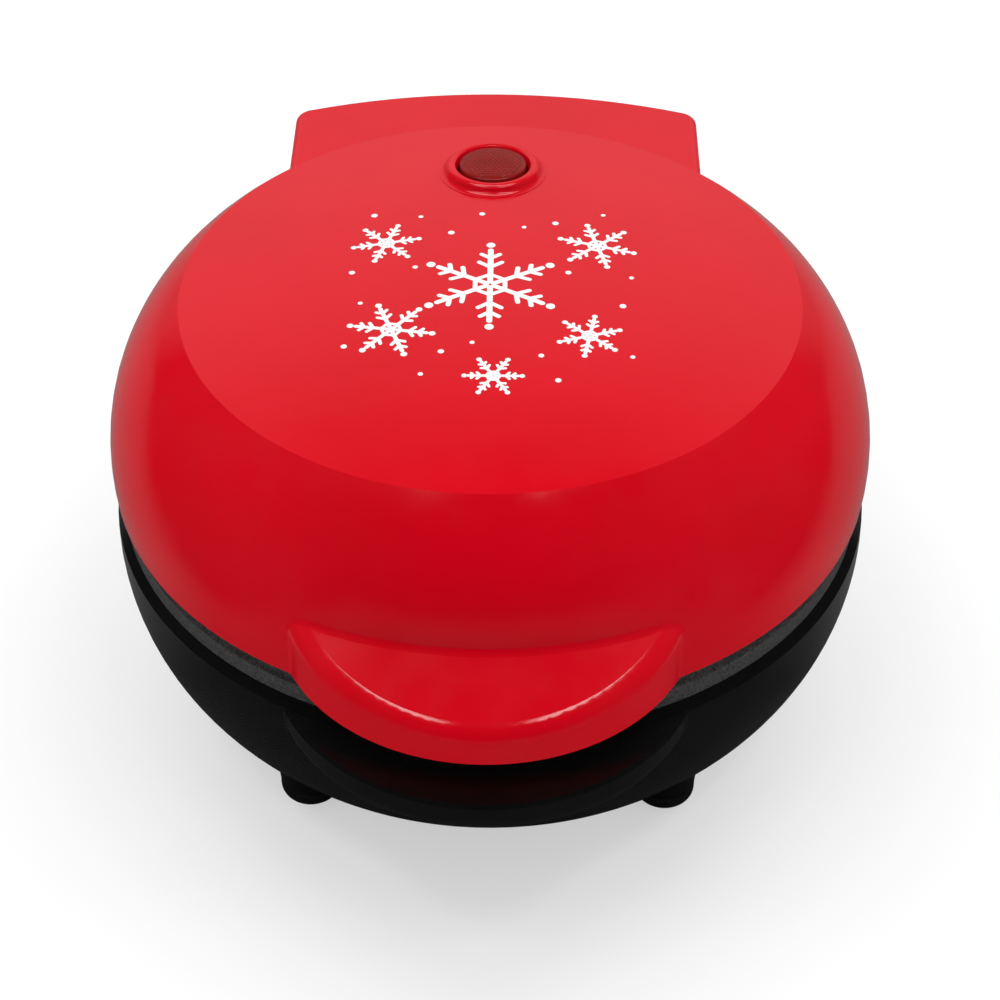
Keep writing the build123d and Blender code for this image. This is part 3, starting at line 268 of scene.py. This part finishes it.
red = gloss_plastic("red_gloss", (0.56, 0.0003, 0.007), (0.60, 0.0005, 0.009), roughness=0.11, specular=0.5)
black = gloss_plastic("black_gloss", (0.0032, 0.0032, 0.0034), (0.0045, 0.0045, 0.0048),
                      roughness=0.13, specular=0.35)
ring_texture = textured_plastic("ring_texture", grey(0.018), grey(0.09),
                                grain=2600, depth=0.12 * MM, roughness=0.55)
rubber = textured_plastic("foot_rubber", grey(0.004), grey(0.009),
                          grain=1500, depth=0.05 * MM, roughness=0.7)
white_plastic = textured_plastic("white_plastic", grey(0.62), grey(0.7),
                                 grain=1400, depth=0.03 * MM, roughness=0.5)
phenolic = textured_plastic("phenolic", (0.02, 0.013, 0.01), (0.045, 0.03, 0.024),
                            grain=1200, depth=0.05 * MM, roughness=0.45)
ceramic = textured_plastic("ceramic", (0.62, 0.6, 0.54), (0.72, 0.7, 0.65),
                           grain=900, depth=0.04 * MM, roughness=0.4)
silicone = textured_plastic("lead_silicone", (0.5, 0.48, 0.42), (0.6, 0.58, 0.52),
                            grain=1000, depth=0.03 * MM, roughness=0.5)
sheath = metal("heater_sheath", (0.12, 0.11, 0.09), (0.3, 0.27, 0.22), roughness=0.42, scale=220)
sheet_steel = metal("sheet_steel", grey(0.4), grey(0.55), roughness=0.32, scale=90, stretch=(1, 12, 1))
sheet_aluminium = metal("sheet_aluminium", grey(0.55), grey(0.72),
                        roughness=0.25, scale=60, stretch=(10, 1, 1))
zinc = metal("zinc_plate", (0.45, 0.46, 0.48), (0.62, 0.62, 0.63), roughness=0.3, scale=500)
coating = nonstick()
sleeve = braid()
lens_plastic = clear("lens_tint", (0.36, 0.016, 0.012), roughness=0.12, transmission=0.45, specular=0.12)
white_ink = textured_plastic("white_ink", (0.8, 0.78, 0.78), (0.86, 0.85, 0.85),
                             grain=900, depth=0.01 * MM, roughness=0.35)
lamp_glass = clear("lamp_glass", (0.95, 0.85, 0.8), roughness=0.03, transmission=1.0, specular=0.5)

FINISHES = {
    "lid_housing": red, "base_housing": black,
    "upper_trim_ring": ring_texture, "lower_trim_ring": ring_texture,
    "upper_waffle_plate": coating, "lower_waffle_plate": coating,
    "indicator_lens": lens_plastic, "indicator_lamp": lamp_glass, "lamp_holder": white_plastic,
    "upper_heating_element": sheath, "lower_heating_element": sheath,
    "upper_element_clamp": sheet_steel, "lower_element_clamp": sheet_steel,
    "upper_heat_shield": sheet_aluminium, "lower_heat_shield": sheet_aluminium,
    "upper_plate_screws": zinc, "lower_plate_screws": zinc, "upper_clamp_screws": zinc,
    "lower_clamp_screws": zinc, "cord_clamp_screws": zinc,
    "hinge_pin_left": zinc, "hinge_pin_right": zinc,
    "thermostat": phenolic, "thermal_fuse": zinc, "terminal_block": ceramic, "cord_clamp": white_plastic,
    "lower_element_leads": silicone, "upper_element_leads": silicone,
    "base_lead_sleeve": sleeve, "lid_lead_sleeve": sleeve, "cord_grommet": rubber,
    "foot_front_left": rubber, "foot_front_right": rubber,
    "foot_rear_left": rubber, "foot_rear_right": rubber,
}
for node, finish_material in FINISHES.items():
    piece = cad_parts[node]
    piece.data.materials.clear()
    piece.data.materials.append(finish_material)


# Pieces

def add_piece(name, shape, material, body):
    """Turn a bmesh into a smooth object that rides on a body."""
    bmesh.ops.recalc_face_normals(shape, faces=shape.faces)
    mesh = bpy.data.meshes.new(name)
    shape.to_mesh(mesh)
    shape.free()
    for polygon in mesh.polygons:
        polygon.use_smooth = True
    piece = bpy.data.objects.new(name, mesh)
    mesh.materials.append(material)
    bpy.context.scene.collection.objects.link(piece)
    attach(piece, body)
    return piece


def sharp_by_angle(piece, degrees):
    """Keep edges crisp where faces meet at more than an angle."""
    shape = bmesh.new()
    shape.from_mesh(piece.data)
    for edge in shape.edges:
        edge.smooth = len(edge.link_faces) != 2 or edge.calc_face_angle(0) < radians(degrees)
    shape.to_mesh(piece.data)
    shape.free()


def cell_height(x, y):
    """Height inside a hexagonal prism cell: 1 at its middle, 0 at its edges."""
    row = round(y / CELL_ROW)
    nearest = CELL
    for near_row in (row - 1, row, row + 1):
        shift = CELL / 2 if near_row % 2 else 0
        centre_x = round((x - shift) / CELL) * CELL + shift
        centre_y = near_row * CELL_ROW
        nearest = min(nearest, sqrt((x - centre_x)**2 + (y - centre_y)**2))
    return max(0.0, 1 - nearest / CELL_REACH)


def lens_profile():
    """Points (radius, height) of the lens's section, from the crown's middle round to its hollow."""
    crown = []
    for step in range(1, LENS_STEPS + 1):
        radius = (LENS_RADIUS - LENS_CROWN_INSET) * step / LENS_STEPS
        crown.append((radius, LENS_EDGE + LENS_CROWN * (1 - (radius / LENS_RADIUS)**2)))
    edge = [(LENS_RADIUS - inset, LENS_EDGE - drop) for inset, drop in LENS_EDGE_ROUND]
    under = [
        (LENS_RADIUS, LENS_SEAT),
        (LENS_FLANGE_RADIUS, LENS_SEAT),
        (LENS_FLANGE_RADIUS, LENS_SEAT - LENS_FLANGE),
        (LENS_RADIUS - LENS_WALL, LENS_SEAT - LENS_FLANGE),
        (LENS_RADIUS - LENS_WALL, LENS_EDGE - LENS_ROOF),
    ]
    return crown + edge + under


def lens_piece():
    """Flanged cap with a crowned top that is pressed into small prism cells."""
    shape = bmesh.new()
    cells_end = LENS_RADIUS - CELL_MARGIN
    rings = []
    for radius, height in lens_profile():
        ring = []
        for turn in range(LENS_TURNS):
            angle = 2 * pi * turn / LENS_TURNS
            x, y = radius * cos(angle), radius * sin(angle)
            rise = 0
            if height > LENS_EDGE and radius < cells_end:
                rise = CELL_RELIEF * cell_height(x, y) * min(1, (cells_end - radius) / CELL_FADE)
            ring.append(shape.verts.new((x, y, height + rise)))
        rings.append(ring)
    for inner, outer in zip(rings, rings[1:]):
        for turn in range(LENS_TURNS):
            after = (turn + 1) % LENS_TURNS
            shape.faces.new((inner[turn], outer[turn], outer[after], inner[after]))
    crown_middle = shape.verts.new((0, 0, LENS_EDGE + LENS_CROWN + CELL_RELIEF))
    hollow_middle = shape.verts.new((0, 0, LENS_EDGE - LENS_ROOF))
    for turn in range(LENS_TURNS):
        after = (turn + 1) % LENS_TURNS
        shape.faces.new((crown_middle, rings[0][turn], rings[0][after]))
        shape.faces.new((hollow_middle, rings[-1][after], rings[-1][turn]))
    # Stand it square on the dome
    tilt = LENS_REACH / DOME_RADIUS
    dome_centre = Vector((0, body_y, RIM_HEIGHT + FLANK_HEIGHT + DOME_RISE - DOME_RADIUS))
    place = dome_centre + Vector((0, sin(tilt), cos(tilt))) * DOME_RADIUS
    shape.transform(Matrix.Translation(place) @ Matrix.Rotation(-tilt, 4, "X"))
    piece = add_piece("lens_cap", shape, lens_plastic, "lid")
    sharp_by_angle(piece, LENS_SHARP)
    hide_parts("indicator_lens")


# Printed ornament: snow crystals and dots in white ink, laid on the dome

def ribbon(shape, start, end, width, land):
    """A rounded stroke from start to end, cut into short runs that follow the dome."""
    start, end = Vector(start), Vector(end)
    along = end - start
    length = along.length
    along.normalize()
    across = Vector((-along.y, along.x))
    half = width / 2
    outline = []
    for index in range(CAP_POINTS):
        angle = pi / 2 + pi * index / (CAP_POINTS - 1)
        outline.append(start + along * half * cos(angle) + across * half * sin(angle))
    runs = max(1, int(length / STROKE_RUN))
    for index in range(1, runs):
        outline.append(start + along * length * index / runs - across * half)
    for index in range(CAP_POINTS):
        angle = -pi / 2 + pi * index / (CAP_POINTS - 1)
        outline.append(end + along * half * cos(angle) + across * half * sin(angle))
    for index in range(runs - 1, 0, -1):
        outline.append(start + along * length * index / runs + across * half)
    points = [shape.verts.new(land(place)) for place in outline]
    # Rungs across the stroke, from the start's cap to the end's
    count = len(points)
    end_cap = CAP_POINTS - 1 + runs
    left = [0] + list(range(count - 1, count - runs, -1)) + [end_cap + CAP_POINTS - 1]
    right = list(range(CAP_POINTS - 1, end_cap + 1))
    shape.faces.new(points[0:CAP_POINTS])
    for index in range(runs):
        shape.faces.new((points[left[index]], points[right[index]],
                         points[right[index + 1]], points[left[index + 1]]))
    shape.faces.new(points[end_cap:end_cap + CAP_POINTS])


def disc(shape, centre, radius, land):
    centre = Vector(centre)
    hub = shape.verts.new(land(centre))
    rim = []
    for index in range(DISC_POINTS):
        angle = 2 * pi * index / DISC_POINTS
        rim.append(shape.verts.new(land(centre + Vector((cos(angle), sin(angle))) * radius)))
    for index in range(DISC_POINTS):
        shape.faces.new((hub, rim[index], rim[(index + 1) % DISC_POINTS]))


def crystal(shape, centre, radius, stroke, turn, land):
    """Six-armed snow crystal: arms with two pairs of twigs, an inner hexagon and dots at the tips."""
    centre = Vector(centre)
    for arm in range(ARMS):
        angle = turn + arm * 2 * pi / ARMS
        out = Vector((cos(angle), sin(angle)))
        ribbon(shape, centre + out * radius * ARM_START, centre + out * radius * ARM_END, stroke, land)
        disc(shape, centre + out * radius * TIP_REACH, stroke * TIP_DOT, land)
        for reach, length in TWIGS:
            root = centre + out * radius * reach
            for side in (-1, 1):
                lean = angle + side * TWIG_LEAN
                tip = root + Vector((cos(lean), sin(lean))) * radius * length
                ribbon(shape, root, tip, stroke * TWIG_STROKE, land)
        next_angle = turn + (arm + 1) * 2 * pi / ARMS
        next_out = Vector((cos(next_angle), sin(next_angle)))
        inner = radius * HEXAGON_REACH
        ribbon(shape, centre + out * inner, centre + next_out * inner, stroke * HEXAGON_STROKE, land)


def print_piece():
    """The print, each of its points laid on the lid's own surface."""
    lid = BVHTree.FromObject(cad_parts["lid_housing"], bpy.context.evaluated_depsgraph_get())

    def land(place):
        hit, normal, _, _ = lid.ray_cast(Vector((place.x, body_y + place.y, ABOVE)), Vector((0, 0, -1)))
        return hit + normal * INK

    shape = bmesh.new()
    for x, y, radius, stroke, turn in CRYSTALS:
        crystal(shape, (x * MM, y * MM), radius * MM, stroke * MM, radians(turn), land)
    for x, y, radius in FLAKES:
        disc(shape, (x * MM, y * MM), radius * MM, land)
    add_piece("lid_print", shape, white_ink, "lid")


# Studio

def area_light(name, place, size, power):
    data = bpy.data.lights.new(name, "AREA")
    data.shape = "RECTANGLE"
    data.size, data.size_y = size
    data.energy = power
    light = bpy.data.objects.new(name, data)
    light.location = place
    light.rotation_euler = (Vector(LIGHT_AIM) - Vector(place)).to_track_quat("-Z", "Y").to_euler()
    bpy.context.scene.collection.objects.link(light)


def background_share(nodes, links):
    """1 where the camera, or glass in front of it, looks at a surface; 0 for other rays."""
    path = nodes.new("ShaderNodeLightPath")
    share = nodes.new("ShaderNodeMath")
    share.operation = "MAXIMUM"
    links.new(path.outputs["Is Camera Ray"], share.inputs[0])
    links.new(path.outputs["Is Transmission Ray"], share.inputs[1])
    return share.outputs["Value"]


def two_tones(nodes, links, factor, first, second):
    """The first tone where the factor is 0, the second where it is 1; each a colour or a socket."""
    mix = nodes.new("ShaderNodeMix")
    mix.data_type = "RGBA"
    for name, value in (("A", first), ("B", second)):
        socket = next(s for s in mix.inputs if s.name == name and s.type == "RGBA")
        if isinstance(value, tuple):
            socket.default_value = (*value, 1)
        else:
            links.new(value, socket)
    links.new(factor, mix.inputs[0])
    return next(s for s in mix.outputs if s.type == "RGBA")


def weighted(nodes, links, vector, weights):
    """Sum of a vector's parts, each times its weight; the X part is taken without its sign."""
    split = nodes.new("ShaderNodeSeparateXYZ")
    links.new(vector, split.inputs["Vector"])
    size_x = nodes.new("ShaderNodeMath")
    size_x.operation = "ABSOLUTE"
    links.new(split.outputs["X"], size_x.inputs[0])
    parts = (size_x.outputs["Value"], split.outputs["Y"], split.outputs["Z"])
    total = None
    for source, weight in zip(parts, weights):
        part = nodes.new("ShaderNodeMath")
        part.operation = "MULTIPLY_ADD"
        part.inputs[1].default_value = weight
        part.inputs[2].default_value = 0
        links.new(source, part.inputs[0])
        if total is not None:
            links.new(total, part.inputs[2])
        total = part.outputs["Value"]
    return total


def studio_ramp(nodes, links, kind, weights, low, high, stops):
    """Grey tone by place or direction: a weighted sum of its parts, from low to high, through a ramp."""
    coordinates = nodes.new("ShaderNodeTexCoord")
    spread = nodes.new("ShaderNodeMapRange")
    spread.inputs["From Min"].default_value = low
    spread.inputs["From Max"].default_value = high
    links.new(weighted(nodes, links, coordinates.outputs[kind], weights), spread.inputs["Value"])
    grey_stops = [((place - low) / (high - low), grey(tone)) for place, tone in stops]
    return ramp(nodes, links, spread.outputs["Result"], grey_stops)


def make_world():
    world = bpy.data.worlds.new("studio")
    world.use_nodes = True
    bpy.context.scene.world = world
    nodes, links = world.node_tree.nodes, world.node_tree.links
    # Reflections see a pale backdrop behind the object and dark elsewhere
    backdrop = studio_ramp(
        nodes, links, "Generated", weights=(0, 0, 1), low=-0.2, high=0.9,
        stops=[(-0.1, 0.17), (0.09, 0.22), (0.26, 0.4), (0.42, 0.56), (0.6, 0.5), (0.7, 0.3), (0.78, 0.03)])
    behind = studio_ramp(nodes, links, "Generated", weights=(-0.85, 1, 0), low=-0.3, high=0.4,
                         stops=[(-0.12, 0), (0.16, 1)])
    around = two_tones(nodes, links, behind, grey(0.012), backdrop)
    # Soft light is strongest from the sides and from behind
    ambient = studio_ramp(nodes, links, "Generated", weights=(1.3, 0.8, 0.3), low=-1, high=1.5,
                          stops=[(-0.7, 0.04), (0.3, 0.43), (0.8, 0.76), (1.3, 1.4)])
    path = nodes.new("ShaderNodeLightPath")
    tone = two_tones(nodes, links, path.outputs["Is Glossy Ray"], ambient, around)
    tone = two_tones(nodes, links, background_share(nodes, links), tone, grey(1))
    links.new(tone, nodes["Background"].inputs["Color"])


def make_floor():
    """Pale floor that keeps the shadow; reflections see it darker near the object and in front, painted
    shade that stands in for the object's shadow.
    """
    mesh = bpy.data.meshes.new("floor")
    shape = bmesh.new()
    bmesh.ops.create_grid(shape, x_segments=2, y_segments=2, size=FLOOR_REACH)
    shape.to_mesh(mesh)
    shape.free()
    floor = bpy.data.objects.new("floor", mesh)
    bpy.context.scene.collection.objects.link(floor)
    material, nodes, links, shader = new_material("floor")
    # Painted shade: reflections see the floor dark in front and darkest close round the object, standing in
    # for the object's shadow
    reflected = studio_ramp(nodes, links, "Object", weights=(-0.65, 1, 0), low=-0.2, high=0.1,
                            stops=[(-0.16, 0.01), (-0.1, 0.15), (0.05, 0.2)])
    outside_painted_shadow = studio_ramp(nodes, links, "Object", weights=(1, 0.6, 0), low=0, high=0.2,
                          stops=[(0.055, 0), (0.1, 1)])
    reflected = two_tones(nodes, links, outside_painted_shadow, grey(0.05), reflected)
    path = nodes.new("ShaderNodeLightPath")
    tone = two_tones(nodes, links, path.outputs["Is Glossy Ray"], grey(FLOOR_BOUNCE), reflected)
    share = background_share(nodes, links)
    tone = two_tones(nodes, links, share, tone, grey(FLOOR_SHADED))
    links.new(tone, shader.inputs["Base Color"])
    lift = nodes.new("ShaderNodeMath")
    lift.operation = "MULTIPLY"
    lift.inputs[1].default_value = FLOOR_GLOW
    links.new(share, lift.inputs[0])
    shader.inputs["Emission Color"].default_value = (1, 1, 1, 1)
    links.new(lift.outputs["Value"], shader.inputs["Emission Strength"])
    shader.inputs["Roughness"].default_value = 0.9
    shader.inputs["Specular IOR Level"].default_value = 0.0
    floor.data.materials.append(material)


def make_camera():
    data = bpy.data.cameras.new("camera")
    data.lens = CAMERA_LENS
    data.sensor_width = CAMERA_SENSOR
    data.shift_x = CAMERA_SHIFT_X
    data.clip_start = CAMERA_NEAR
    camera = bpy.data.objects.new("camera", data)
    back = Vector((sin(CAMERA_AZIMUTH) * cos(CAMERA_ELEVATION),
                   -cos(CAMERA_AZIMUTH) * cos(CAMERA_ELEVATION), sin(CAMERA_ELEVATION)))
    target = Vector((0, body_y, RIM_HEIGHT - CAMERA_DROP))
    camera.location = target + back * CAMERA_DISTANCE
    camera.rotation_euler = back.to_track_quat("Z", "Y").to_euler()
    bpy.context.scene.collection.objects.link(camera)
    bpy.context.scene.camera = camera


lens_piece()
print_piece()
bpy.context.scene.view_settings.view_transform = "Standard"
make_world()
make_floor()
for light in LIGHTS:
    area_light(*light)
make_camera()
